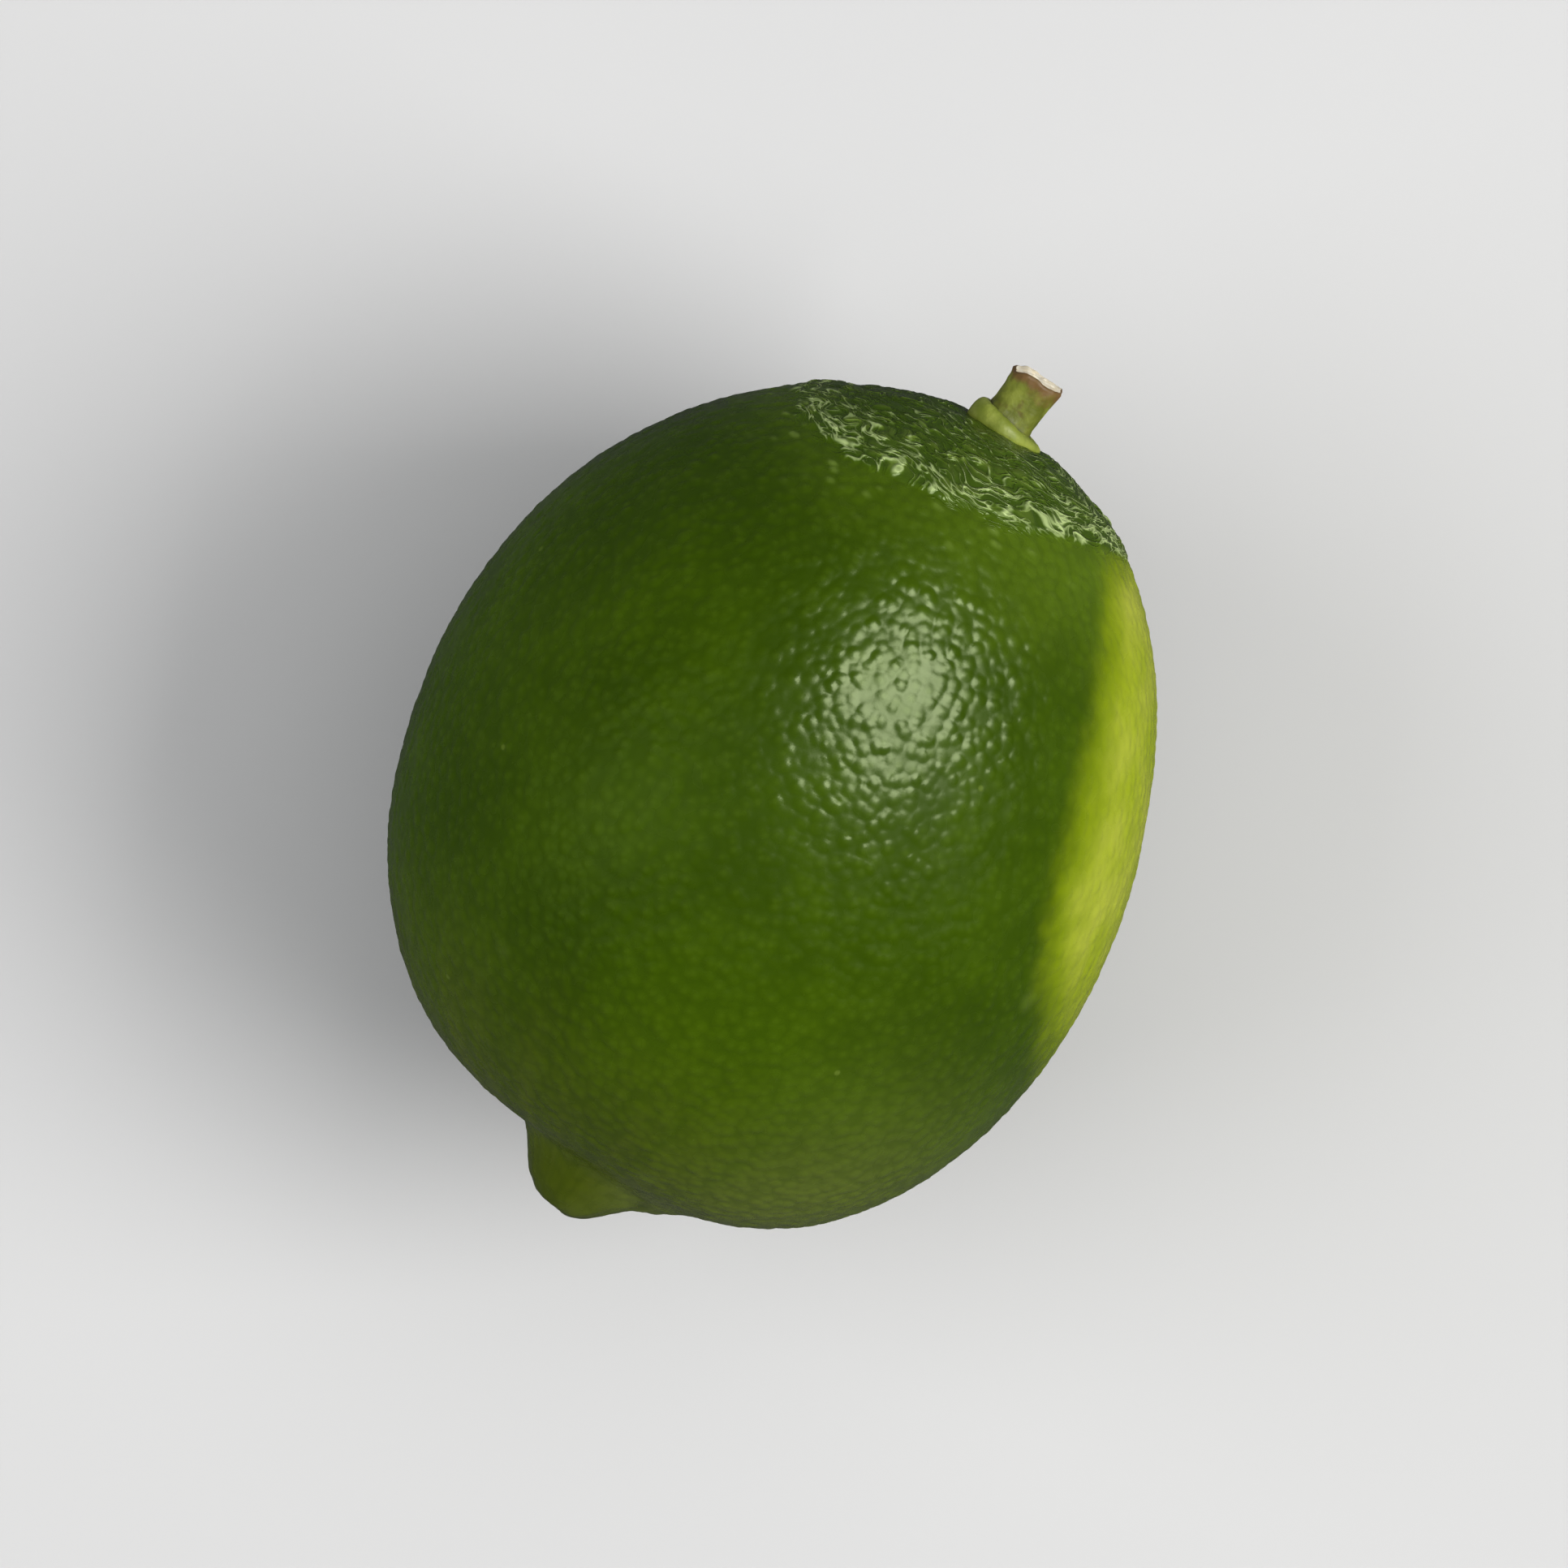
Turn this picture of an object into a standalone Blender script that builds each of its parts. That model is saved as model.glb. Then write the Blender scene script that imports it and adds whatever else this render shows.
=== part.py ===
"""A whole lime lying on its side: the fruit, the calyx at its stem end and the stub of its stem.

Lengths are in metres. +X runs from the nipple to the stem and +Z is up. The origin is under the
middle of the lime, on the surface that it lies on.
"""

import math

import bmesh
import bpy
from mathutils import Matrix, Vector

MM = 0.001

# The fruit's body is an egg: an ellipsoid, flatter at the nipple and fuller at the stem.
HALF_LENGTH = 33.05 * MM
HALF_WIDTH = 27.9 * MM
HALF_HEIGHT = 27.6 * MM
BODY_TURN = math.radians(8.2)  # the body's long axis, turned in plan from the nipple-stem line
END_RADIUS = 31.5 * MM  # from the fruit's middle to either end, for distances round an end
BLUNT_POLE = Vector((-1, 0, 0))
BLUNT_DEPTH = 3.7 * MM
BLUNT_REACH = 14.1 * MM
# The shoulder beside the stem is fuller on the -Y side.
SHOULDER_POLE = Vector((30.2, -9.4, 0.0)).normalized()
SHOULDER_RISE = 2.4 * MM
SHOULDER_REACH = 17.9 * MM
LOBES = 5
LOBE_DEPTH = 0.2 * MM

# The nipple is a blunt knob, steep on its +Y side and running off into a low swelling on the other.
NIPPLE_POLE = Vector((-31.4, -0.2, -0.4)).normalized()
NIPPLE_HEIGHT = 4.5 * MM
NIPPLE_RADIUS = 4.1 * MM
SWELLING_POLE = Vector((-30.9, -5.6, -0.9)).normalized()
SWELLING_HEIGHT = 1.9 * MM
SWELLING_REACH = 4.0 * MM

# The calyx and the stem stand here, in a very shallow dish.
STEM_POLE = Vector((34.7, -1.0, 0.0)).normalized()
DISH_DEPTH = 0.3 * MM
DISH_RADIUS = 4.2 * MM

CALYX_RADIUS = 3.1 * MM
CALYX_LOBES = 5
CALYX_LOBE_DEPTH = 0.1 * MM
CALYX_THICKNESS = 0.75 * MM  # at its middle
COLLAR_TURN = math.radians(-11.5)  # the calyx's top faces this far to one side of its pole, in plan

STEM_TURN = math.radians(-4.0)  # the stem leans this much in plan
STEM_LENGTH = 3.7 * MM
STEM_RADIUS = 2.05 * MM
STEM_RIBS = 4
STEM_RIB_DEPTH = 0.14 * MM
# The stub's outline as (share of its length, share of its radius).
STEM_OUTLINE = ((0.0, 1.0), (0.06, 1.08), (0.3, 1.0), (0.65, 0.97), (0.94, 1.02), (1.0, 0.93))

GAP = 0.3 * MM  # between neighbouring pieces
PITCH = math.radians(5.0)  # the stem end lies this much higher than the nipple
FLAT_DEPTH = 0.45 * MM  # how far the rind is pressed flat where the lime rests

FRUIT_SEGMENTS, FRUIT_RINGS = 48, 40
CALYX_SEGMENTS, CALYX_RINGS = 30, 10
STEM_SEGMENTS = 24
GATHER = 0.2  # how strongly the fruit's rings crowd towards both ends
SURFACE_STEPS = 6  # rounds of the search for the rind under a point


def nearness(direction, pole, reach, power=2):
    """1 at an end of the fruit, falling to 0 beyond reach. A higher power has a flatter top."""
    across = END_RADIUS * (direction - pole).length
    return math.exp(-((across / reach) ** power))


def body_radius(direction):
    """The plain ellipsoid's radius in a direction."""
    local = Matrix.Rotation(-BODY_TURN, 3, "Z") @ direction
    halves = (HALF_LENGTH, HALF_WIDTH, HALF_HEIGHT)
    return 1 / math.sqrt(sum((part / half) ** 2 for part, half in zip(local, halves)))


def fruit_radius(direction):
    """From the fruit's middle to its rind, in a direction given as a unit vector."""
    round_axis = math.atan2(direction.z, direction.y)
    girth = direction.y**2 + direction.z**2
    radius = body_radius(direction)
    radius += LOBE_DEPTH * girth * math.cos(LOBES * round_axis)
    radius -= BLUNT_DEPTH * nearness(direction, BLUNT_POLE, BLUNT_REACH)
    radius += SHOULDER_RISE * nearness(direction, SHOULDER_POLE, SHOULDER_REACH)
    radius += NIPPLE_HEIGHT * nearness(direction, NIPPLE_POLE, NIPPLE_RADIUS, power=3)
    radius += SWELLING_HEIGHT * nearness(direction, SWELLING_POLE, SWELLING_REACH)
    radius -= DISH_DEPTH * nearness(direction, STEM_POLE, DISH_RADIUS, power=4)
    return radius


def rind_height(offset):
    """How far along the stem's axis the rind lies, at an offset across that axis."""
    height = END_RADIUS
    for _ in range(SURFACE_STEPS):
        direction = (STEM_POLE * height + offset).normalized()
        height = math.sqrt(fruit_radius(direction) ** 2 - offset.length_squared)
    return height


def gathered(direction):
    """The direction, moved towards the nearer end so that rings are closest where shape is finest."""
    angle = math.acos(max(-1.0, min(1.0, direction.x)))
    angle -= GATHER * math.sin(2 * angle)
    round_axis = math.atan2(direction.z, direction.y)
    across = math.sin(angle)
    return Vector((math.cos(angle), across * math.cos(round_axis), across * math.sin(round_axis)))


def sphere_along_x(segments, rings):
    """A unit sphere whose poles lie on the X axis."""
    bm = bmesh.new()
    bmesh.ops.create_uvsphere(
        bm,
        u_segments=segments,
        v_segments=rings,
        radius=1.0,
        matrix=Matrix.Rotation(math.radians(90), 4, "Y"),
    )
    return bm


def plain_material(name, color, roughness):
    material = bpy.data.materials.new(name)
    material.use_nodes = True
    shader = material.node_tree.nodes["Principled BSDF"]
    shader.inputs["Base Color"].default_value = (*color, 1.0)
    shader.inputs["Roughness"].default_value = roughness
    shader.inputs["Metallic"].default_value = 0.0
    return material


def place(obj, collection, material, parent):
    obj.data.materials.append(material)
    obj.parent = parent
    collection.objects.link(obj)
    return obj


def smooth_object(name, bm):
    """A smooth-shaded object from a bmesh, which is freed."""
    mesh = bpy.data.meshes.new(name)
    bm.to_mesh(mesh)
    bm.free()
    mesh.shade_smooth()
    return bpy.data.objects.new(name, mesh)


def make_fruit():
    bm = sphere_along_x(FRUIT_SEGMENTS, FRUIT_RINGS)
    for vert in bm.verts:
        direction = gathered(vert.co.normalized())
        vert.co = direction * fruit_radius(direction)
    return smooth_object("fruit", bm)


def turned_pole(turn):
    """The stem's pole, turned in plan."""
    return Matrix.Rotation(turn, 3, "Z") @ STEM_POLE


def calyx_top(offset):
    """The calyx's top slopes, so it is thickest on the +Y side."""
    middle = rind_height(Vector((0, 0, 0))) + GAP + CALYX_THICKNESS
    facing = turned_pole(COLLAR_TURN)
    return middle - offset.dot(facing) / STEM_POLE.dot(facing)


def make_calyx():
    """A faintly five-lobed cushion, its underside a gap above the rind."""
    bm = sphere_along_x(CALYX_SEGMENTS, CALYX_RINGS)
    turn = Vector((1, 0, 0)).rotation_difference(STEM_POLE).to_matrix()
    for vert in bm.verts:
        round_axis = math.atan2(vert.co.z, vert.co.y)
        reach = CALYX_RADIUS + CALYX_LOBE_DEPTH * math.cos(CALYX_LOBES * round_axis)
        offset = turn @ Vector((0, vert.co.y, vert.co.z)) * reach
        under = rind_height(offset) + GAP
        share = math.sqrt(max(0.0, vert.co.x))
        vert.co = offset + STEM_POLE * (under + share * (calyx_top(offset) - under))
    return smooth_object("calyx", bm)


def make_stem():
    """The cut stub of the stem, a rounded square in section, standing a gap above the calyx.

    Its foot lies along the calyx's sloping top, and its tip is square to its own axis.
    """
    axis, facing = turned_pole(STEM_TURN), turned_pole(COLLAR_TURN)
    base = STEM_POLE * calyx_top(Vector((0, 0, 0))) + axis * GAP
    turn = Vector((1, 0, 0)).rotation_difference(axis).to_matrix()
    bm = bmesh.new()
    rings = []
    for along, thickness in STEM_OUTLINE:
        ring = []
        for step in range(STEM_SEGMENTS):
            angle = math.tau * step / STEM_SEGMENTS
            radius = STEM_RADIUS * thickness - STEM_RIB_DEPTH * math.cos(STEM_RIBS * angle)
            across = turn @ Vector((0, math.cos(angle), math.sin(angle))) * radius
            slope = -(1 - along) * across.dot(facing) / axis.dot(facing)
            ring.append(bm.verts.new(base + axis * (STEM_LENGTH * along + slope) + across))
        rings.append(ring)
    for lower, upper in zip(rings, rings[1:]):
        for step in range(STEM_SEGMENTS):
            after = (step + 1) % STEM_SEGMENTS
            bm.faces.new((lower[step], lower[after], upper[after], upper[step]))
    bm.faces.new(reversed(rings[0]))
    bm.faces.new(rings[-1])
    return smooth_object("stem", bm)


def flatten_underside(fruit, cutters):
    """Cuts the fruit level with the surface that it rests on, at Z = 0."""
    bm = bmesh.new()
    bmesh.ops.create_cube(bm, size=4 * HALF_LENGTH)
    mesh = bpy.data.meshes.new("rest_surface")
    bm.to_mesh(mesh)
    bm.free()
    cutter = bpy.data.objects.new("rest_surface", mesh)
    cutter.location.z = -2 * HALF_LENGTH
    cutter.hide_render = True
    cutter.display_type = "WIRE"
    cutters.objects.link(cutter)
    cut = fruit.modifiers.new("rest", "BOOLEAN")
    cut.operation = "DIFFERENCE"
    cut.object = cutter


def world_points(obj):
    """The object's evaluated vertices, in the world."""
    evaluated = obj.evaluated_get(bpy.context.evaluated_depsgraph_get())
    points = [evaluated.matrix_world @ vert.co for vert in evaluated.to_mesh().vertices]
    evaluated.to_mesh_clear()
    return points


def lay_down(lime, pieces):
    """Pitches the lime and sets it on Z = 0, pressed in by the flat's depth and centred in plan."""
    lime.rotation_euler.y = -PITCH
    bpy.context.view_layer.update()
    points = [point for piece in pieces for point in world_points(piece)]
    low = Vector([min(values) for values in zip(*points)])
    high = Vector([max(values) for values in zip(*points)])
    middle = (low + high) / 2
    lime.location = (-middle.x, -middle.y, -low.z - FLAT_DEPTH)


def main():
    for obj in list(bpy.data.objects):
        bpy.data.objects.remove(obj)
    collection = bpy.data.collections.new("lime")
    cutters = bpy.data.collections.new("cutters")
    for made in (collection, cutters):
        bpy.context.scene.collection.children.link(made)
    lime = bpy.data.objects.new("lime_placement", None)
    collection.objects.link(lime)

    rind = plain_material("lime_rind", (0.045, 0.130, 0.004), 0.38)
    calyx_green = plain_material("calyx_green", (0.230, 0.300, 0.050), 0.55)
    stem_bark = plain_material("stem_bark", (0.200, 0.190, 0.040), 0.70)
    fruit = place(make_fruit(), collection, rind, lime)
    calyx = place(make_calyx(), collection, calyx_green, lime)
    stem = place(make_stem(), collection, stem_bark, lime)
    lay_down(lime, (fruit, calyx, stem))
    flatten_underside(fruit, cutters)


main()
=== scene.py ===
"""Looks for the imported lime: a finely pebbled fruit, its calyx and the cut stub of its stem.

Shapes are worked out in millimetres about the middle of the fruit, with +X towards the stem, then
placed in the frame, in metres, by the CAD's own boxes.
"""

import math
from itertools import product

import bpy
import numpy as np
from mathutils import Matrix, Vector


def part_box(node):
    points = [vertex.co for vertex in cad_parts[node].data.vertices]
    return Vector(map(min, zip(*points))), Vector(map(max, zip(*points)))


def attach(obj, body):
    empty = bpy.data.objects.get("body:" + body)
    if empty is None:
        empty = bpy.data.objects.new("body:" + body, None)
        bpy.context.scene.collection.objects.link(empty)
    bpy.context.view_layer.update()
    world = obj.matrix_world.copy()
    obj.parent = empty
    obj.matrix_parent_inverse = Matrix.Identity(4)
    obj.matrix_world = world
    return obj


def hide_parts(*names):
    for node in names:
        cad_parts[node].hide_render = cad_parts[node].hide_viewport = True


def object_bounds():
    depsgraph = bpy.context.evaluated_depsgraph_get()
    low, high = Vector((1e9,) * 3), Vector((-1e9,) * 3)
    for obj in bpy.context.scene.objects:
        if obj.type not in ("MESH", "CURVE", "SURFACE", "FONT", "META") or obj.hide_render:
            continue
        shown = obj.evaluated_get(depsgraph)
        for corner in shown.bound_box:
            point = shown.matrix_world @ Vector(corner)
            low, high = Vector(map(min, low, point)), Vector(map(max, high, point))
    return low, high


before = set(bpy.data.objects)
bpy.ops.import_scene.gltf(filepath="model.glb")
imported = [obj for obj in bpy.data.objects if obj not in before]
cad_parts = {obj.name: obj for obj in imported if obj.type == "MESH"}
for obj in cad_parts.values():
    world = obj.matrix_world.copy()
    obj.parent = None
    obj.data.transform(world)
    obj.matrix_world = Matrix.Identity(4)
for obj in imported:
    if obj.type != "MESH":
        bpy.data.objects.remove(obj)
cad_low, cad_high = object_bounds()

MM = 0.001
PITCH = math.radians(5.0)  # the stem end lies this much higher than the nipple


def unit(x, y, z):
    vector = np.array((x, y, z), float)
    return vector / np.linalg.norm(vector)


# ---------------------------------------------------------------- the fruit's plain form, as in the CAD
HALVES = np.array((33.05, 27.9, 27.6))
BODY_TURN = math.radians(8.2)
END_RADIUS = 31.5
BLUNT_POLE, BLUNT_DEPTH, BLUNT_REACH = unit(-1, 0, 0), 3.7, 14.1
SHOULDER_POLE, SHOULDER_RISE, SHOULDER_REACH = unit(30.2, -9.4, 0.0), 2.4, 17.9
LOBES, LOBE_DEPTH = 5, 0.2
NIPPLE_POLE, NIPPLE_HEIGHT, NIPPLE_RADIUS = unit(-31.4, -0.2, -0.4), 4.5, 4.1
SWELLING_POLE, SWELLING_HEIGHT, SWELLING_REACH = unit(-30.9, -5.6, -0.9), 1.9, 4.0
STEM_POLE, DISH_DEPTH, DISH_RADIUS = unit(34.7, -1.0, 0.0), 0.3, 4.2
COLLAR_TURN, STEM_TURN = math.radians(-11.5), math.radians(-4.0)


def nearness(directions, pole, reach, power=2):
    across = END_RADIUS * np.linalg.norm(directions - pole, axis=-1)
    return np.exp(-((across / reach) ** power))


def fruit_radius(directions):
    """From the fruit's middle to its rind, before any fine relief."""
    turn = np.array(Matrix.Rotation(-BODY_TURN, 3, "Z"))
    radius = 1 / np.linalg.norm(directions @ turn.T / HALVES, axis=-1)
    x, y, z = directions[..., 0], directions[..., 1], directions[..., 2]
    radius = radius + LOBE_DEPTH * (y**2 + z**2) * np.cos(LOBES * np.arctan2(z, y))
    radius -= BLUNT_DEPTH * nearness(directions, BLUNT_POLE, BLUNT_REACH)
    radius += SHOULDER_RISE * nearness(directions, SHOULDER_POLE, SHOULDER_REACH)
    radius += NIPPLE_HEIGHT * nearness(directions, NIPPLE_POLE, NIPPLE_RADIUS, 3)
    radius += SWELLING_HEIGHT * nearness(directions, SWELLING_POLE, SWELLING_REACH)
    radius -= DISH_DEPTH * nearness(directions, STEM_POLE, DISH_RADIUS, 4)
    return radius


# ---------------------------------------------------------------- noise
def random_cells(cells, seed):
    """A number from 0 to 1 for each whole-number cell."""
    mixed = np.full(cells.shape[:-1], (seed * 2654435761) & 0xFFFFFFFF, np.uint64)
    for part, prime in zip(np.moveaxis(cells, -1, 0), (73856093, 19349663, 83492791)):
        mixed = (mixed ^ (part.astype(np.uint64) * prime)) & 0xFFFFFFFF
        mixed = ((mixed ^ (mixed >> 16)) * 0x7FEB352D) & 0xFFFFFFFF
        mixed = ((mixed ^ (mixed >> 15)) * 0x846CA68B) & 0xFFFFFFFF
        mixed ^= mixed >> 16
    return mixed / float(0xFFFFFFFF)


def smooth_noise(points, seed):
    """From -1 to 1, smooth between random numbers at whole coordinates."""
    base = np.floor(points).astype(np.int64)
    part = points - base
    part = part * part * (3 - 2 * part)
    total = np.zeros(len(points))
    for corner in product((0, 1), repeat=3):
        weight = np.prod(np.where(corner, part, 1 - part), axis=1)
        total += weight * random_cells(base + corner, seed)
    return 2 * total - 1


def rough_noise(points, seed, octaves=3):
    """Smooth noise with finer and weaker layers on it."""
    total = sum(smooth_noise(points * 2**n, seed + n) / 2**n for n in range(octaves))
    return total / 1.5


def cell_noise(points, seed, jitter=0.9):
    """The distances to the two nearest of one random point in each cell, and the nearest's number."""
    base = np.floor(points).astype(np.int64)
    first, second = np.full(len(points), 9.0), np.full(len(points), 9.0)
    shade = np.zeros(len(points))
    for step in product((-1, 0, 1), repeat=3):
        cell = base + step
        spot = np.stack([random_cells(cell, seed + n) for n in range(3)], axis=1)
        away = np.linalg.norm(cell + 0.5 + jitter * (spot - 0.5) - points, axis=1)
        nearer = away < first
        second = np.where(nearer, first, np.minimum(second, away))
        shade = np.where(nearer, spot[:, 0], shade)
        first = np.minimum(first, away)
    return first, second, shade


def smoothstep(low, high, value):
    share = np.clip((value - low) / (high - low), 0, 1)
    return share * share * (3 - 2 * share)


def bump(value, middle, width):
    return np.exp(-(((value - middle) / width) ** 2))


# ---------------------------------------------------------------- meshes
def mesh_object(name, points, quads, uvs=None, values=None):
    """A smooth mesh object from arrays: points in metres, four corners to a face."""
    mesh = bpy.data.meshes.new(name)
    mesh.vertices.add(len(points))
    mesh.vertices.foreach_set("co", points.astype(np.float32).ravel())
    mesh.loops.add(quads.size)
    mesh.loops.foreach_set("vertex_index", quads.astype(np.int32).ravel())
    mesh.polygons.add(len(quads))
    mesh.polygons.foreach_set("loop_start", np.arange(0, quads.size, 4, dtype=np.int32))
    mesh.update(calc_edges=True)
    if uvs is not None:
        layer = mesh.uv_layers.new(name="OFBake")
        layer.uv.foreach_set("vector", uvs.astype(np.float32).ravel())
    for key, numbers in (values or {}).items():
        attribute = mesh.attributes.new(key, "FLOAT", "POINT")
        attribute.data.foreach_set("value", np.asarray(numbers, np.float32))
    mesh.validate()
    mesh.shade_smooth()
    obj = bpy.data.objects.new(name, mesh)
    bpy.context.scene.collection.objects.link(obj)
    return obj


def cube_sphere(steps):
    """Directions spread evenly over a ball, its quads, and a map with one chart to a side."""
    ticks = np.arange(steps + 1)
    row, column = (grid.ravel() for grid in np.meshgrid(ticks, ticks, indexing="ij"))
    i, j = (grid.ravel() for grid in np.meshgrid(ticks[:-1], ticks[:-1], indexing="ij"))
    corner = i * (steps + 1) + j
    quad = np.stack([corner, corner + 1, corner + steps + 2, corner + steps + 1], axis=1)
    places, quads, uvs = [], [], []
    margin = 0.02
    for side, (axis, end) in enumerate(product(range(3), (0, steps))):
        place = np.empty((len(row), 3), np.int64)
        place[:, axis] = end
        place[:, (axis + 1) % 3] = row
        place[:, (axis + 2) % 3] = column
        flip = quad if end == 0 else quad[:, ::-1]
        chart = np.stack([row, column], axis=1) / steps * (1 - 2 * margin) + margin
        chart = (chart + (side % 3, side // 3)) / (3, 2)
        uvs.append(chart[flip.ravel()])
        quads.append(flip + side * len(row))
        places.append(place)
    places = np.concatenate(places)
    keys = places @ ((steps + 1) ** 2, steps + 1, 1)
    _, chosen, index = np.unique(keys, return_index=True, return_inverse=True)
    spread = np.tan((places[chosen] / steps * 2 - 1) * math.pi / 4)
    directions = spread / np.linalg.norm(spread, axis=1, keepdims=True)
    return directions, index.ravel()[np.concatenate(quads)], np.concatenate(uvs)


def polar(directions, pole):
    """The angle from a pole, and the bearing round it, counted from up."""
    side = np.cross((0, 0, 1), pole)
    side /= np.linalg.norm(side)
    up = np.cross(pole, side)
    angle = np.arccos(np.clip(directions @ pole, -1, 1))
    return angle, np.arctan2(directions @ side, directions @ up)


# ---------------------------------------------------------------- placing by the CAD's boxes
SIDE_STEPS = 256
directions, fruit_quads, fruit_uvs = cube_sphere(SIDE_STEPS)
plain = directions * fruit_radius(directions)[:, None]
tilt = np.array(Matrix.Rotation(-PITCH, 3, "Y"))
pitched = plain @ tilt.T
box_low, box_high = (np.array(corner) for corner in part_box("fruit"))
form_low, form_high = pitched.min(0), pitched.max(0)
SCALE = (box_high[0] - box_low[0]) / (form_high[0] - form_low[0])
SHIFT = (box_low + box_high - SCALE * (form_low + form_high)) / 2
SHIFT[2] = box_high[2] - SCALE * form_high[2]


def placed(points):
    """From millimetres about the fruit's middle to metres in the frame."""
    return points @ tilt.T * SCALE + SHIFT


# ---------------------------------------------------------------- the fruit
ZONE_REACH = 14.2  # how far the wrinkled zone reaches from the stem, on average
PEBBLE_SPACING, PEBBLE_HEIGHT = 0.92, 0.088
REST_EDGE = 0.12  # how softly the rind turns into the flat that it rests on


def stretched_round(distance, bearing, radial, around):
    """Coordinates round the stem for noise whose cells are longer round it than across."""
    reach = distance / around
    return np.stack([distance / radial, reach * np.cos(bearing), reach * np.sin(bearing)], axis=1)


def stem_relief(points, distance, bearing):
    """Folds, wrinkles and drawn-out cells round the stem.

    Returns the relief, four masks (the zone itself, its ridges, its pale cork with painted glints and the
    bumps scattered outside it) and the coordinates that are drawn out round the stem.
    """
    warp = 0.9 * smooth_noise(points / 4.2, 11) + 0.55 * smooth_noise(points / 1.5, 12)
    edge = ZONE_REACH + 2.2 * np.sin(bearing) + 1.0 * np.cos(bearing)
    edge += 1.2 * smooth_noise(points / 7, 13)
    inward = edge - distance + warp
    zone = smoothstep(-1.2, 1.0, inward)
    ring = distance + 1.3 * warp
    coarse = stretched_round(ring, bearing, 1.2, 4.4)
    folds = 1 - np.abs(smooth_noise(coarse, 21)) ** 0.7
    folds *= smoothstep(-0.7, 0.3, smooth_noise(points / 3.1, 22))
    middle = stretched_round(ring, bearing, 0.8, 1.9)
    first, second, shade = cell_noise(middle, 31)
    cells = smoothstep(0.02, 0.42, second - first) * (0.25 + 1.05 * shade)
    rim = smoothstep(-0.4, 0.3, inward) * (1 - smoothstep(1.8, 4.6, inward))
    near_collar = smoothstep(2.8, 5.0, distance)
    strength = zone * near_collar * (0.45 + 0.55 * smoothstep(5.0, 11.0, distance))
    relief = strength * (0.20 * (folds - 0.5) + 0.13 * (cells - 0.4) + 0.16 * rim)
    furrow = np.cos(9 * bearing + 2.2 * smooth_noise(points / 4, 41))
    relief += 0.10 * furrow * bump(distance, 4.8, 1.6)
    # Outside the folds a few drawn-out bumps are scattered, fewer and fewer with distance.
    spots = stretched_round(distance, bearing, 1.05, 1.7)
    first, _, chance = cell_noise(spots, 36)
    scattered = smoothstep(0.4, 0.7, chance) * (1 - smoothstep(0.15, 0.42, first))
    scattered *= (1 - zone) * (1 - smoothstep(-1.5, 7.0, -inward))
    relief += 0.10 * scattered
    ridge = strength * (0.5 * folds + 0.5 * cells) + 0.6 * scattered
    patchy = 0.5 + 0.5 * smooth_noise(points / 3.5, 45)
    edge_line = bump(inward, 0.1, 0.28) * smoothstep(-0.6, 0.2, smooth_noise(points / 2.6, 47))
    relief += 0.12 * edge_line
    # The mask of pale cork with painted glints on it, along the folds and the zone's edge.
    cork_and_glints = near_collar * zone * (0.25 + 0.35 * patchy + 0.4 * rim) + 0.5 * edge_line
    return relief, zone, ridge, cork_and_glints, scattered, coarse


def nipple_relief(points, distance, bearing):
    """Furrows down the nipple, creases round its foot, and the small pit left by the flower."""
    flank = bump(distance, 3.9, 1.5)
    wander = 1.2 * smooth_noise(points / 2.5, 51)
    relief = 0.05 * np.cos(7 * bearing + wander) * flank
    relief += 0.03 * np.cos(13 * bearing - 2 * wander) * bump(distance, 2.6, 1.2)
    crease_line = distance - 6.2 - 0.9 * smooth_noise(points / 3, 52)
    crease = bump(crease_line, 0, 0.5) * smoothstep(-0.1, 0.6, smooth_noise(points / 2.2, 53))
    relief -= 0.09 * crease
    pit = bump(distance, 0, 0.75)
    relief += -0.38 * pit + 0.12 * bump(distance, 1.25, 0.45)
    relief += 0.06 * rough_noise(points / 0.6, 54) * bump(distance, 0, 1.8)
    return relief, crease


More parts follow.
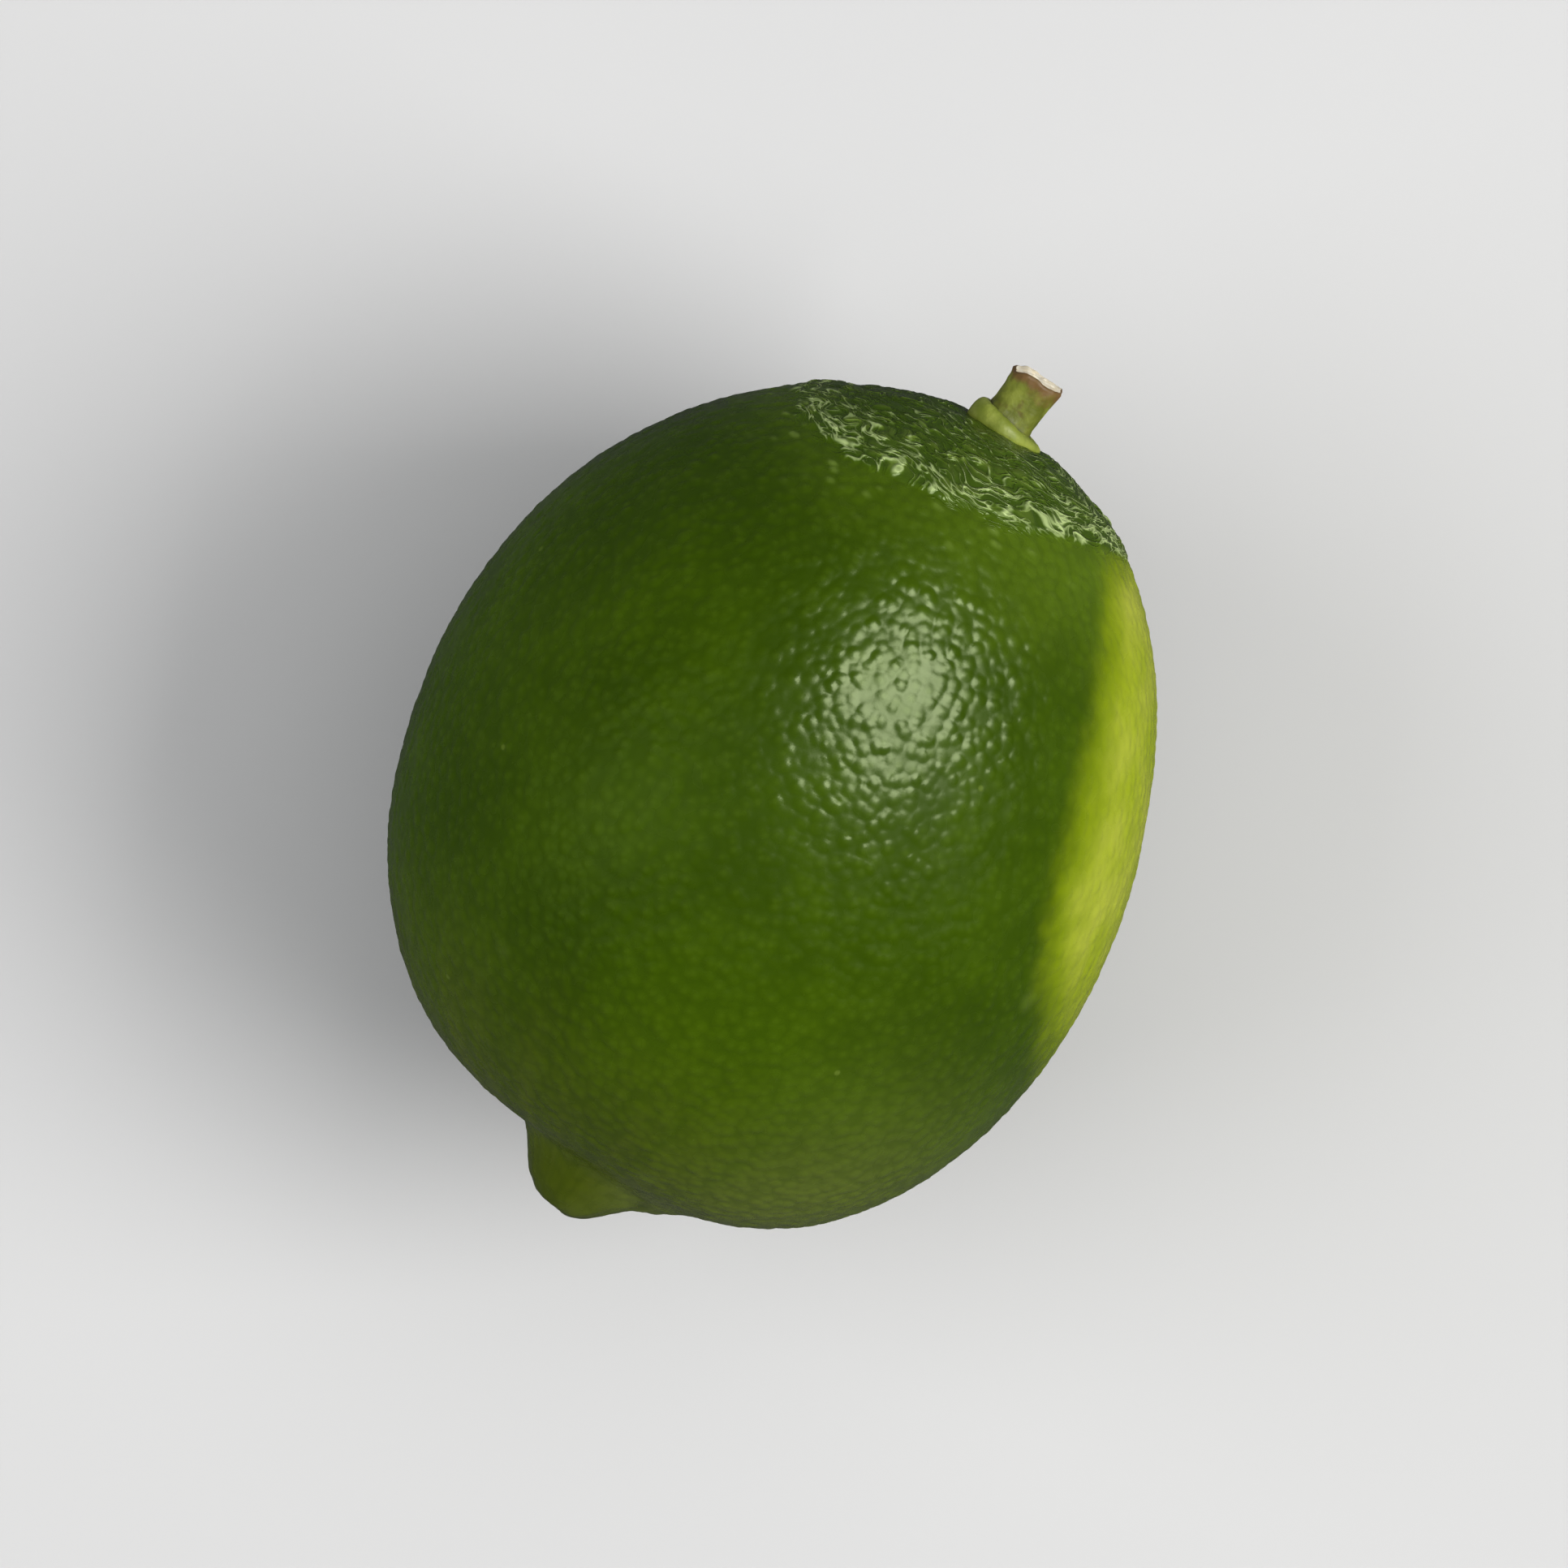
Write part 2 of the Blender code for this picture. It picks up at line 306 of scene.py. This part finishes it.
def make_fruit():
    radius = fruit_radius(directions)
    to_stem, round_stem = polar(directions, STEM_POLE)
    to_nipple, round_nipple = polar(directions, NIPPLE_POLE)
    stem_distance, nipple_distance = to_stem * radius, to_nipple * radius

    relief = 0.2 * rough_noise(plain / 15, 1) + 0.035 * rough_noise(plain / 3.2, 4)
    first, _, shade = cell_noise(plain / PEBBLE_SPACING, 61)
    pebble = np.clip(1 - (first / 0.72) ** 2, 0, 1) * (0.4 + 0.9 * shade)
    rings, zone, ridge, cork_and_glints, scattered, drawn_out = stem_relief(plain, stem_distance, round_stem)
    knob, crease = nipple_relief(plain, nipple_distance, round_nipple)
    relief += PEBBLE_HEIGHT * pebble * (1 - 0.75 * zone)
    relief += 0.012 * smooth_noise(plain / 0.42, 64)
    relief += rings + knob

    points = placed(directions * (radius + relief)[:, None])
    soft, height = REST_EDGE * MM, points[:, 2]
    points[:, 2] = (height + np.sqrt(height**2 + soft**2)) / 2

    # The yellow flank lies on the -Y side. Between it and the stem the rind gets painted light, strongest on
    # the lit -Y side, which also brightens the painted glints in the folds.
    from_top = np.arctan2(-directions[:, 1], directions[:, 2])
    wander = 0.05 * rough_noise(plain / 8, 71) + 0.02 * rough_noise(plain / 1.6, 74)
    along = plain[:, 0]
    lit_side = 0.55 + 0.45 * smoothstep(-0.3, 0.9, -np.sin(round_stem))
    near_side = 0.84 + 0.0009 * (along - 16.5) ** 2
    inside = from_top + 1.9 * wander - near_side
    fade = smoothstep(-18, 10, along + 70 * wander) * (1 - smoothstep(28, 33, along + 20 * wander))
    blush = fade * smoothstep(-0.17, 0.28, inside) * (1 - smoothstep(0.55, 1.6, inside))
    around = 12.8 * np.stack([np.cos(round_nipple), np.sin(round_nipple)], axis=1)
    streak = rough_noise(np.column_stack([along / 14, around]), 81)
    values = {
        "pebble": pebble * (1 - zone),
        "gland": 1 - smoothstep(0.12, 0.4, first),
        "zone": zone,
        # Painted light on the rind round the stem, strongest on the lit side.
        "painted_stem_light": lit_side * (1 - smoothstep(14, 25, stem_distance + 40 * wander)),
        "ridge": np.clip(ridge, 0, 1),
        # Pale cork with painted glints, brightest on the lit side.
        "cork_and_glints": np.clip(cork_and_glints * (0.55 + 0.45 * lit_side), 0, 1),
        "scattered": scattered,
        "drawn_x": drawn_out[:, 0],
        "drawn_y": drawn_out[:, 1],
        "drawn_z": drawn_out[:, 2],
        "blush": blush,
        "nippled": 1 - smoothstep(8, 34, nipple_distance),
        # Paler rind near the nipple, with painted sheen on the lit -Y flank.
        "pale": (1 - smoothstep(18, 44, nipple_distance)) * smoothstep(0.2, 1.0, from_top),
        "knob": 1 - smoothstep(3.5, 6.0, nipple_distance + 0.6 * wander * 10),
        "crease": crease,
        "scar": 1 - smoothstep(0.7, 1.5, nipple_distance),
        "streak": streak,
    }
    return mesh_object("lime_fruit", points, fruit_quads, fruit_uvs, values)


# ---------------------------------------------------------------- calyx and stem
def rind_height(offset):
    """How far along the stem's pole the rind lies, at offsets across it."""
    height = np.full(offset.shape[:-1], END_RADIUS)
    for _ in range(6):
        way = STEM_POLE * height[..., None] + offset
        way /= np.linalg.norm(way, axis=-1, keepdims=True)
        height = np.sqrt(fruit_radius(way) ** 2 - (offset**2).sum(-1))
    return height


def lathe_quads(rings, segments):
    """The faces of rings joined end to end, each ring closed on itself."""
    ring, step = np.meshgrid(np.arange(rings - 1), np.arange(segments), indexing="ij")
    here, after = ring * segments + step, ring * segments + (step + 1) % segments
    return np.stack([here, after, after + segments, here + segments], axis=-1).reshape(-1, 4)


STEM_AXIS = np.array(Matrix.Rotation(STEM_TURN, 3, "Z")) @ STEM_POLE
COLLAR_FACING = np.array(Matrix.Rotation(COLLAR_TURN, 3, "Z")) @ STEM_POLE
CALYX_RADIUS, CALYX_THICKNESS = 3.15, 0.95
STEM_RADIUS, STEM_LENGTH = 2.1, 4.1


def across_frame(axis):
    side = np.cross((0, 0, 1), axis)
    side /= np.linalg.norm(side)
    return side, np.cross(axis, side)


def calyx_top(offset):
    middle = rind_height(np.zeros((1, 3)))[0] + CALYX_THICKNESS
    return middle - offset @ COLLAR_FACING / (STEM_POLE @ COLLAR_FACING)


def make_calyx():
    segments = 160
    bearing = np.linspace(0, math.tau, segments, endpoint=False)
    side, up = across_frame(STEM_POLE)
    spoke = np.cos(bearing)[:, None] * up + np.sin(bearing)[:, None] * side
    lobes = np.cos(5 * bearing + 0.6)
    rim = CALYX_RADIUS * (1 + 0.018 * lobes - 0.02 * (1 - lobes) ** 3 / 8)
    # Shares of the rim's radius and of the thickness, from the middle of the top to under the rim.
    turns = np.linspace(0, math.pi / 2, 12)
    outline = [(share, 1.0) for share in np.linspace(0.02, 0.74, 12)]
    outline += [(0.74 + 0.26 * math.sin(turn), math.cos(turn) ** 0.8) for turn in turns[1:]]
    outline += [(0.93, -0.25), (0.6, -0.3), (0.02, -0.3)]
    rings = []
    for share, lift in outline:
        offset = spoke * (rim * share)[:, None]
        under = rind_height(offset)
        top = calyx_top(offset)
        grain = rough_noise(offset / 0.7 + 5, 91)
        crease = -0.05 * smoothstep(0.3, 1.0, -lobes) * smoothstep(0.6, 0.95, share)
        above = np.where(lift > 0, lift * (top - under + crease + 0.07 * grain), lift)
        rings.append(STEM_POLE * (under + above)[:, None] + offset)
    points = np.concatenate(rings)
    values = {"rim": np.repeat([share for share, _ in outline], segments)}
    quads = lathe_quads(len(rings), segments)[:, ::-1]
    return mesh_object("lime_calyx", placed(points), quads, values=values)


def make_stem():
    segments, lengths = 144, 44
    bearing = np.linspace(0, math.tau, segments, endpoint=False)
    side, up = across_frame(STEM_AXIS)
    spoke = np.cos(bearing)[:, None] * up + np.sin(bearing)[:, None] * side
    base = STEM_POLE * (calyx_top(np.zeros((1, 3)))[0] - 0.25)
    section = 1 - 0.075 * np.cos(4 * bearing) + 0.03 * np.cos(3 * bearing + 1.0)
    # Shares of the length and of the radius, then how much of the point is on the cut end.
    outline = []
    for along in np.linspace(0, 1, lengths):
        flare = 0.07 * math.exp(-((along / 0.1) ** 2)) + 0.08 * smoothstep(0.5, 0.95, along)
        outline.append((along, 0.97 + flare - 0.05 * smoothstep(0.95, 1.0, along), 0.0))
    outline += [(1.004, 0.95, 0.5), (1.0, 0.9, 1.0)]
    outline += [(1.0 - 0.03 * (1 - share), share, 1.0) for share in np.linspace(0.84, 0.01, 16)]
    rings, alongs, cuts = [], [], []
    for along, share, cut in outline:
        spot = STEM_AXIS * along * STEM_LENGTH + spoke * (share * STEM_RADIUS * section)[:, None]
        grain = [3.4 * (spoke @ up), 3.4 * (spoke @ side), np.full(segments, 1.5 * along)]
        bark = rough_noise(np.stack(grain, axis=1), 101)
        pits = rough_noise(spot / 0.55, 104)
        share_of_side = 1 - cut
        spot += spoke * ((0.09 * bark + 0.05 * pits) * share_of_side * min(1, share))[:, None]
        ragged = 0.16 * rough_noise(spot / 0.8 + 3, 107) * smoothstep(0.8, 1.0, along)
        # The foot lies along the calyx's sloping top, and the cut end is a little oblique.
        slope = -(1 - along) * (spoke * share * STEM_RADIUS) @ COLLAR_FACING
        oblique = -0.07 * (spot @ up) * along**2 - 0.05 * (spot @ side) * along**2
        chamfer = -0.35 * smoothstep(0.9, 1.9, spot @ side) * smoothstep(0.8, 1.0, along)
        spot += STEM_AXIS * (ragged + slope + oblique + chamfer)[:, None]
        rings.append(base + spot)
        alongs.append(np.full(segments, along))
        cuts.append(np.full(segments, cut))
    values = {"along": np.concatenate(alongs), "cut": np.concatenate(cuts)}
    quads = lathe_quads(len(rings), segments)
    return mesh_object("lime_stem", placed(np.concatenate(rings)), quads, values=values)


# ---------------------------------------------------------------- materials
class Shading:
    """Builds one Principled material from nodes."""

    def __init__(self, name, **uniform):
        self.material = bpy.data.materials.new(name)
        self.material.use_nodes = True
        self.nodes = self.material.node_tree.nodes
        self.links = self.material.node_tree.links
        self.shader = self.nodes["Principled BSDF"]
        for socket, value in uniform.items():
            self.shader.inputs[socket.replace("_", " ")].default_value = value

    def node(self, kind, inputs=None, **settings):
        made = self.nodes.new(kind)
        for key, value in settings.items():
            setattr(made, key, value)
        for key, value in (inputs or {}).items():
            self.put(made.inputs[key], value)
        return made

    def put(self, socket, value):
        if isinstance(value, bpy.types.NodeSocket):
            self.links.new(value, socket)
        elif isinstance(value, tuple) and len(value) == 3 and socket.type == "RGBA":
            socket.default_value = (*value, 1.0)
        else:
            socket.default_value = value

    def attribute(self, name):
        return self.node("ShaderNodeAttribute", attribute_name=name).outputs["Fac"]

    def position(self):
        return self.node("ShaderNodeTexCoord").outputs["Object"]

    def noise(self, size_mm, detail=2.0):
        inputs = {"Vector": self.position(), "Scale": 1000.0 / size_mm, "Detail": detail}
        return self.node("ShaderNodeTexNoise", inputs).outputs["Fac"]

    def voronoi(self, size_mm, output="Distance"):
        inputs = {"Vector": self.position(), "Scale": 1000.0 / size_mm}
        return self.node("ShaderNodeTexVoronoi", inputs).outputs[output]

    def drawn_out(self):
        """Coordinates whose cells are long round the stem."""
        inputs = {axis: self.attribute("drawn_" + axis.lower()) for axis in "XYZ"}
        return self.node("ShaderNodeCombineXYZ", inputs).outputs["Vector"]

    def wrinkles(self, per_cell):
        """A net of crests from 0 to 1, with valleys between them."""
        inputs = {
            "Vector": self.drawn_out(),
            "Scale": per_cell,
            "Detail": 1.0,
            "Roughness": 0.6,
            "Distortion": 0.25,
        }
        value = self.node("ShaderNodeTexNoise", inputs).outputs["Fac"]
        away = self.math("ABSOLUTE", self.math("SUBTRACT", value, 0.5))
        return self.ramp(away, 0.0, 0.07, 1.0, 0.0)

    def ramp(self, value, low, high, start=0.0, end=1.0):
        inputs = {
            "Value": value,
            "From Min": low,
            "From Max": high,
            "To Min": start,
            "To Max": end,
        }
        made = self.node("ShaderNodeMapRange", inputs, interpolation_type="SMOOTHSTEP")
        return made.outputs["Result"]

    def math(self, operation, first, second=0.0):
        made = self.node("ShaderNodeMath", operation=operation)
        self.put(made.inputs[0], first)
        self.put(made.inputs[1], second)
        return made.outputs[0]

    def mix(self, share, first, second):
        made = self.node("ShaderNodeMix", data_type="RGBA")
        colors = [socket for socket in made.inputs if socket.type == "RGBA"]
        self.put(made.inputs[0], share)
        self.put(colors[0], first)
        self.put(colors[1], second)
        return next(socket for socket in made.outputs if socket.type == "RGBA")

    def bump(self, height, distance_mm, strength=1.0, normal=None):
        inputs = {"Height": height, "Distance": distance_mm * MM, "Strength": strength}
        made = self.node("ShaderNodeBump", inputs)
        if normal:
            self.put(made.inputs["Normal"], normal)
        return made.outputs["Normal"]

    def finish(self, color, roughness, normal):
        self.put(self.shader.inputs["Base Color"], color)
        self.put(self.shader.inputs["Roughness"], roughness)
        self.put(self.shader.inputs["Normal"], normal)
        return self.material


def rind_material():
    s = Shading("lime_rind", Metallic=0.0, IOR=1.4, Specular_Tint=(0.88, 1.0, 0.62, 1.0))
    streak, pebble = s.attribute("streak"), s.attribute("pebble")
    green = s.mix(s.ramp(s.noise(13, 3.0), 0.35, 0.68), (0.024, 0.050, 0.0003), (0.034, 0.068, 0.0005))
    green = s.mix(s.ramp(s.noise(3.1, 2.0), 0.45, 0.8, 0.0, 0.25), green, (0.046, 0.086, 0.0010))
    pale = s.mix(s.ramp(streak, -0.35, 0.45), (0.068, 0.096, 0.005), (0.090, 0.118, 0.008))
    toward_nipple = s.math("MULTIPLY", s.attribute("nippled"), 0.8)
    green = s.mix(toward_nipple, green, pale)
    # Paler rind near the nipple on the -Y flank, with painted sheen and light of that lit flank.
    green = s.mix(s.math("MULTIPLY", s.attribute("pale"), 0.6), green, (0.125, 0.160, 0.026))
    # Painted glints on the bumps scattered outside the folds.
    green = s.mix(s.attribute("scattered"), green, (0.150, 0.220, 0.040))
    # Painted light on the rind between the stem and the yellow flank, strongest on the lit side.
    painted_stem_light_share = s.math("MULTIPLY", s.attribute("painted_stem_light"), 0.7)
    green = s.mix(painted_stem_light_share, green, (0.085, 0.145, 0.005))
    green = s.mix(s.math("MULTIPLY", s.attribute("gland"), 0.14), green, (0.080, 0.140, 0.006))
    # Painted shade in the hollows between the pebbles.
    green = s.mix(s.ramp(pebble, 0.0, 0.5, 0.2, 0.0), green, (0.014, 0.034, 0.0003))
    # The yellow flank: greenish at its rim, palest in its upper half.
    blush = s.attribute("blush")
    green = s.mix(s.ramp(blush, 0.0, 0.5), green, (0.135, 0.190, 0.0010))
    yellow = s.mix(s.ramp(s.noise(6, 3.0), 0.35, 0.7), (0.235, 0.295, 0.008), (0.310, 0.350, 0.032))
    green = s.mix(s.ramp(blush, 0.35, 1.0), green, yellow)
    # Sparse pale specks and a few larger smudges.
    specks = s.ramp(s.voronoi(5.5), 0.03, 0.06, 1.0, 0.0)
    rare = s.ramp(s.voronoi(5.5, "Color"), 0.45, 0.55)
    specks = s.math("MULTIPLY", s.math("MULTIPLY", specks, rare), 0.35)
    green = s.mix(specks, green, (0.150, 0.210, 0.030))
    smudges = s.ramp(s.voronoi(16), 0.02, 0.08, 0.25, 0.0)
    green = s.mix(smudges, green, (0.100, 0.150, 0.020))
    # The folded rind round the stem: paler on its folds, partly their own colour and partly painted glints;
    # painted shade in the valleys between the wrinkles; pale cork with painted glints.
    # Paler folds, partly their own colour and partly painted glints.
    folded = s.mix(s.ramp(s.attribute("ridge"), 0.25, 1.0), (0.046, 0.088, 0.005), (0.130, 0.195, 0.026))
    wrinkles = s.math("ADD", s.wrinkles(1.3), s.math("MULTIPLY", s.wrinkles(2.6), 0.6))
    cork_and_glints = s.math("ADD", s.attribute("cork_and_glints"), s.math("MULTIPLY", wrinkles, 0.55))
    # Painted shade in the valleys between the wrinkles.
    folded = s.mix(s.ramp(wrinkles, 0.5, 0.0, 0.0, 0.5), folded, (0.020, 0.044, 0.003))
    # Pale cork with painted glints.
    folded = s.mix(s.ramp(cork_and_glints, 0.8, 1.5, 0.0, 0.95), folded, (0.430, 0.540, 0.220))
    green = s.mix(s.ramp(s.attribute("zone"), 0.1, 0.9, 0.0, 0.85), green, folded)
    # The nipple, darker, partly its own tone and partly painted shade; painted shade in its creases; and the
    # flower's scar.
    green = s.mix(s.math("MULTIPLY", s.attribute("knob"), 0.6), green, (0.040, 0.056, 0.002))
    # Painted shade in the creases.
    green = s.mix(s.math("MULTIPLY", s.attribute("crease"), 0.4), green, (0.024, 0.040, 0.002))
    green = s.mix(s.math("MULTIPLY", s.attribute("scar"), 0.9), green, (0.070, 0.048, 0.014))
    rough = s.ramp(s.noise(1.8, 2.0), 0.3, 0.7, 0.22, 0.30)
    fine = s.bump(s.noise(0.34, 2.0), 0.015, 0.4)
    lumps = s.bump(s.math("MULTIPLY", wrinkles, s.attribute("zone")), 0.15, 0.9, fine)
    return s.finish(green, rough, lumps)


def calyx_material():
    s = Shading("lime_calyx", Metallic=0.0)
    color = s.mix(s.ramp(s.noise(1.3, 3.0), 0.35, 0.7), (0.150, 0.190, 0.016), (0.235, 0.275, 0.040))
    # Painted shade in the middle of the calyx's top and under it, round the stem's foot.
    color = s.mix(s.ramp(s.attribute("rim"), 0.72, 0.62, 0.0, 0.75), color, (0.060, 0.062, 0.007))
    color = s.mix(s.ramp(s.noise(0.5, 2.0), 0.6, 0.75, 0.0, 0.4), color, (0.095, 0.105, 0.012))
    return s.finish(color, s.ramp(s.noise(0.8), 0.3, 0.7, 0.42, 0.58), s.bump(s.noise(0.25, 3.0), 0.05, 0.6))


def stem_material():
    s = Shading("lime_stem", Metallic=0.0)
    along, cut = s.attribute("along"), s.attribute("cut")
    bark = s.mix(s.ramp(s.noise(1.2, 3.0), 0.35, 0.7), (0.085, 0.100, 0.006), (0.160, 0.185, 0.018))
    ragged = s.math("ADD", along, s.math("MULTIPLY", s.noise(1.4, 3.0), 0.6))
    bark = s.mix(s.ramp(ragged, 0.95, 1.2, 0.0, 0.9), bark, (0.125, 0.060, 0.018))
    bark = s.mix(s.ramp(s.noise(0.8, 2.0), 0.58, 0.72, 0.0, 0.6), bark, (0.085, 0.060, 0.010))
    # Painted shade at the stem's foot, where it meets the calyx.
    bark = s.mix(s.ramp(along, 0.12, 0.02, 0.0, 0.7), bark, (0.050, 0.050, 0.006))
    wood = s.mix(s.ramp(s.noise(0.45, 3.0), 0.35, 0.7), (0.800, 0.690, 0.480), (0.900, 0.840, 0.690))
    color = s.mix(s.ramp(cut, 0.3, 0.7), bark, wood)
    return s.finish(color, s.ramp(s.noise(0.6), 0.3, 0.7, 0.5, 0.68), s.bump(s.noise(0.3, 3.0), 0.06, 0.7))


def floor_material():
    s = Shading("floor", Metallic=0.0)
    grey = s.mix(s.noise(180, 2.0), (0.470, 0.470, 0.475), (0.500, 0.500, 0.500))
    return s.finish(grey, 0.65, s.bump(s.noise(1.5), 0.02, 0.2))


# ---------------------------------------------------------------- light, floor and camera
def add_softbox(name, azimuth, elevation, distance, size, power, color, shines=True):
    """A square area light aimed at the lime. Angles are in degrees, azimuth from +X towards +Y.

    The one that shines makes the highlight, and the others only the soft shading.
    """
    light = bpy.data.lights.new(name, "AREA")
    light.shape = "SQUARE"
    light.size = size
    light.energy = power
    light.color = color
    lamp = bpy.data.objects.new(name, light)
    a, e = math.radians(azimuth), math.radians(elevation)
    way = Vector((math.cos(a) * math.cos(e), math.sin(a) * math.cos(e), math.sin(e)))
    lamp.location = MIDDLE + way * distance
    lamp.rotation_euler = way.to_track_quat("Z", "Y").to_euler()
    lamp.visible_glossy, lamp.visible_diffuse = shines, not shines
    bpy.context.scene.collection.objects.link(lamp)


def add_floor():
    half = 2.5
    points = np.array([(-half, -half, 0), (half, -half, 0), (half, half, 0), (-half, half, 0)])
    floor = mesh_object("floor", points, np.array([[0, 1, 2, 3]]))
    floor.data.materials.append(floor_material())
    floor.visible_glossy = False


def add_camera():
    """Looks almost straight down, turned so that the stem points up and to the right."""
    distance, lean, toward = 1.2, math.radians(4.1), (0.41, 0.91)
    back = Vector((math.sin(lean) * toward[0], math.sin(lean) * toward[1], math.cos(lean)))
    right = Vector((0.871, 0.491, 0.0)).cross(back).normalized()
    up = back.cross(right)
    camera = bpy.data.objects.new("camera", bpy.data.cameras.new("camera"))
    turn = Matrix((right, up, back)).transposed().to_4x4()
    camera.matrix_world = Matrix.Translation(MIDDLE + back * distance) @ turn
    wide = (cad_high.x - cad_low.x) / 0.62
    camera.data.lens = camera.data.sensor_width * distance / wide
    camera.data.clip_end = 20.0
    bpy.context.scene.collection.objects.link(camera)
    bpy.context.scene.camera = camera


def set_world():
    """A pale backdrop that gives only a little light, so that the softboxes shape the lime."""
    world = bpy.data.worlds.new("studio")
    world.use_nodes = True
    nodes, links = world.node_tree.nodes, world.node_tree.links
    backdrop = nodes["Background"]
    backdrop.inputs["Color"].default_value = (0.95, 0.97, 1.0, 1.0)
    strength = nodes.new("ShaderNodeMapRange")
    strength.inputs["To Min"].default_value = 0.07
    strength.inputs["To Max"].default_value = 0.62
    seen = nodes.new("ShaderNodeLightPath").outputs["Is Camera Ray"]
    links.new(seen, strength.inputs["Value"])
    links.new(strength.outputs["Result"], backdrop.inputs["Strength"])
    bpy.context.scene.world = world
    bpy.context.scene.view_settings.view_transform = "Standard"


MIDDLE = (cad_low + cad_high) / 2

for make, material, node, slot in (
    (make_fruit, rind_material, "fruit", "rind"),
    (make_calyx, calyx_material, "calyx", "calyx"),
    (make_stem, stem_material, "stem", "stem"),
):
    piece = make()
    piece.data.materials.append(material())
    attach(piece, "root")
    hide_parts(node)

add_floor()
add_camera()
set_world()
add_softbox("highlight", -28, 51, 2.4, 1.15, 57.0, (1.0, 0.99, 0.96))
add_softbox("key", -72, 44, 3.0, 2.0, 112.0, (1.0, 0.99, 0.97), shines=False)
add_softbox("overhead", -20, 80, 3.0, 4.0, 56.0, (1.0, 1.0, 1.0), shines=False)
add_softbox("fill", 115, 38, 3.0, 2.5, 62.0, (0.98, 0.99, 1.0), shines=False)
